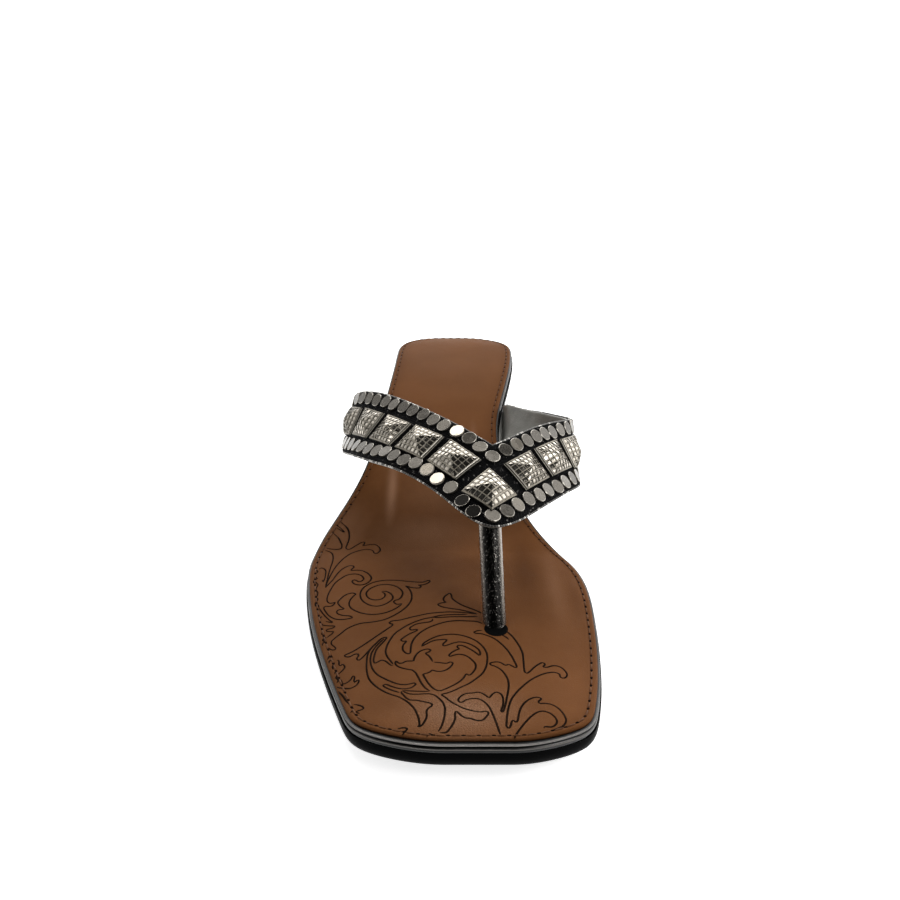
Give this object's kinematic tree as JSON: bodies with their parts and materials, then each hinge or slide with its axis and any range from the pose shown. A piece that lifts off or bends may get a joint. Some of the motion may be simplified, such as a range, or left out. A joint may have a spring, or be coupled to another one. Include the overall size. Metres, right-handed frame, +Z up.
{
  "type": "heeled toe-post slip-on sandal",
  "caption": "Right-foot slip-on sandal with a padded foot bed, bound edge, block heel, toe post and a V strap carrying pyramid studs.",
  "frame": {"origin": "on the floor, in the middle of the shoe's bounding box", "axes": "+Y from toe to heel, +X to the inner side of the foot, +Z up"},
  "size_m": [0.0968, 0.2474, 0.0552],
  "materials": {
    "sole_rubber": "smooth black, slightly glossy edge",
    "heel_cover": "plain black, satin",
    "edge_binding": "gunmetal metallic, grooved along its middle",
    "foot_bed_leather": "smooth mid-brown, soft shine, etched scrolls",
    "strap_textile": "black woven with fine metallic glint, grey leather lining",
    "post_leather": "gunmetal crinkle grain, rolled",
    "stud_metal": "aged pewter with a chequered relief"
  },
  "bodies": {
    "root": {"outsole": "sole_rubber", "heel": "heel_cover", "insole_board": "edge_binding", "foot_bed": "foot_bed_leather", "strap": "strap_textile", "toe_post": "post_leather", "stud_centre": "stud_metal", "stud_outer_1": "stud_metal", "stud_outer_2": "stud_metal", "stud_outer_3": "stud_metal", "stud_outer_4": "stud_metal", "stud_outer_5": "stud_metal", "stud_inner_1": "stud_metal", "stud_inner_2": "stud_metal", "stud_inner_3": "stud_metal", "stud_inner_4": "stud_metal", "stud_inner_5": "stud_metal"}
  },
  "joints": []
}
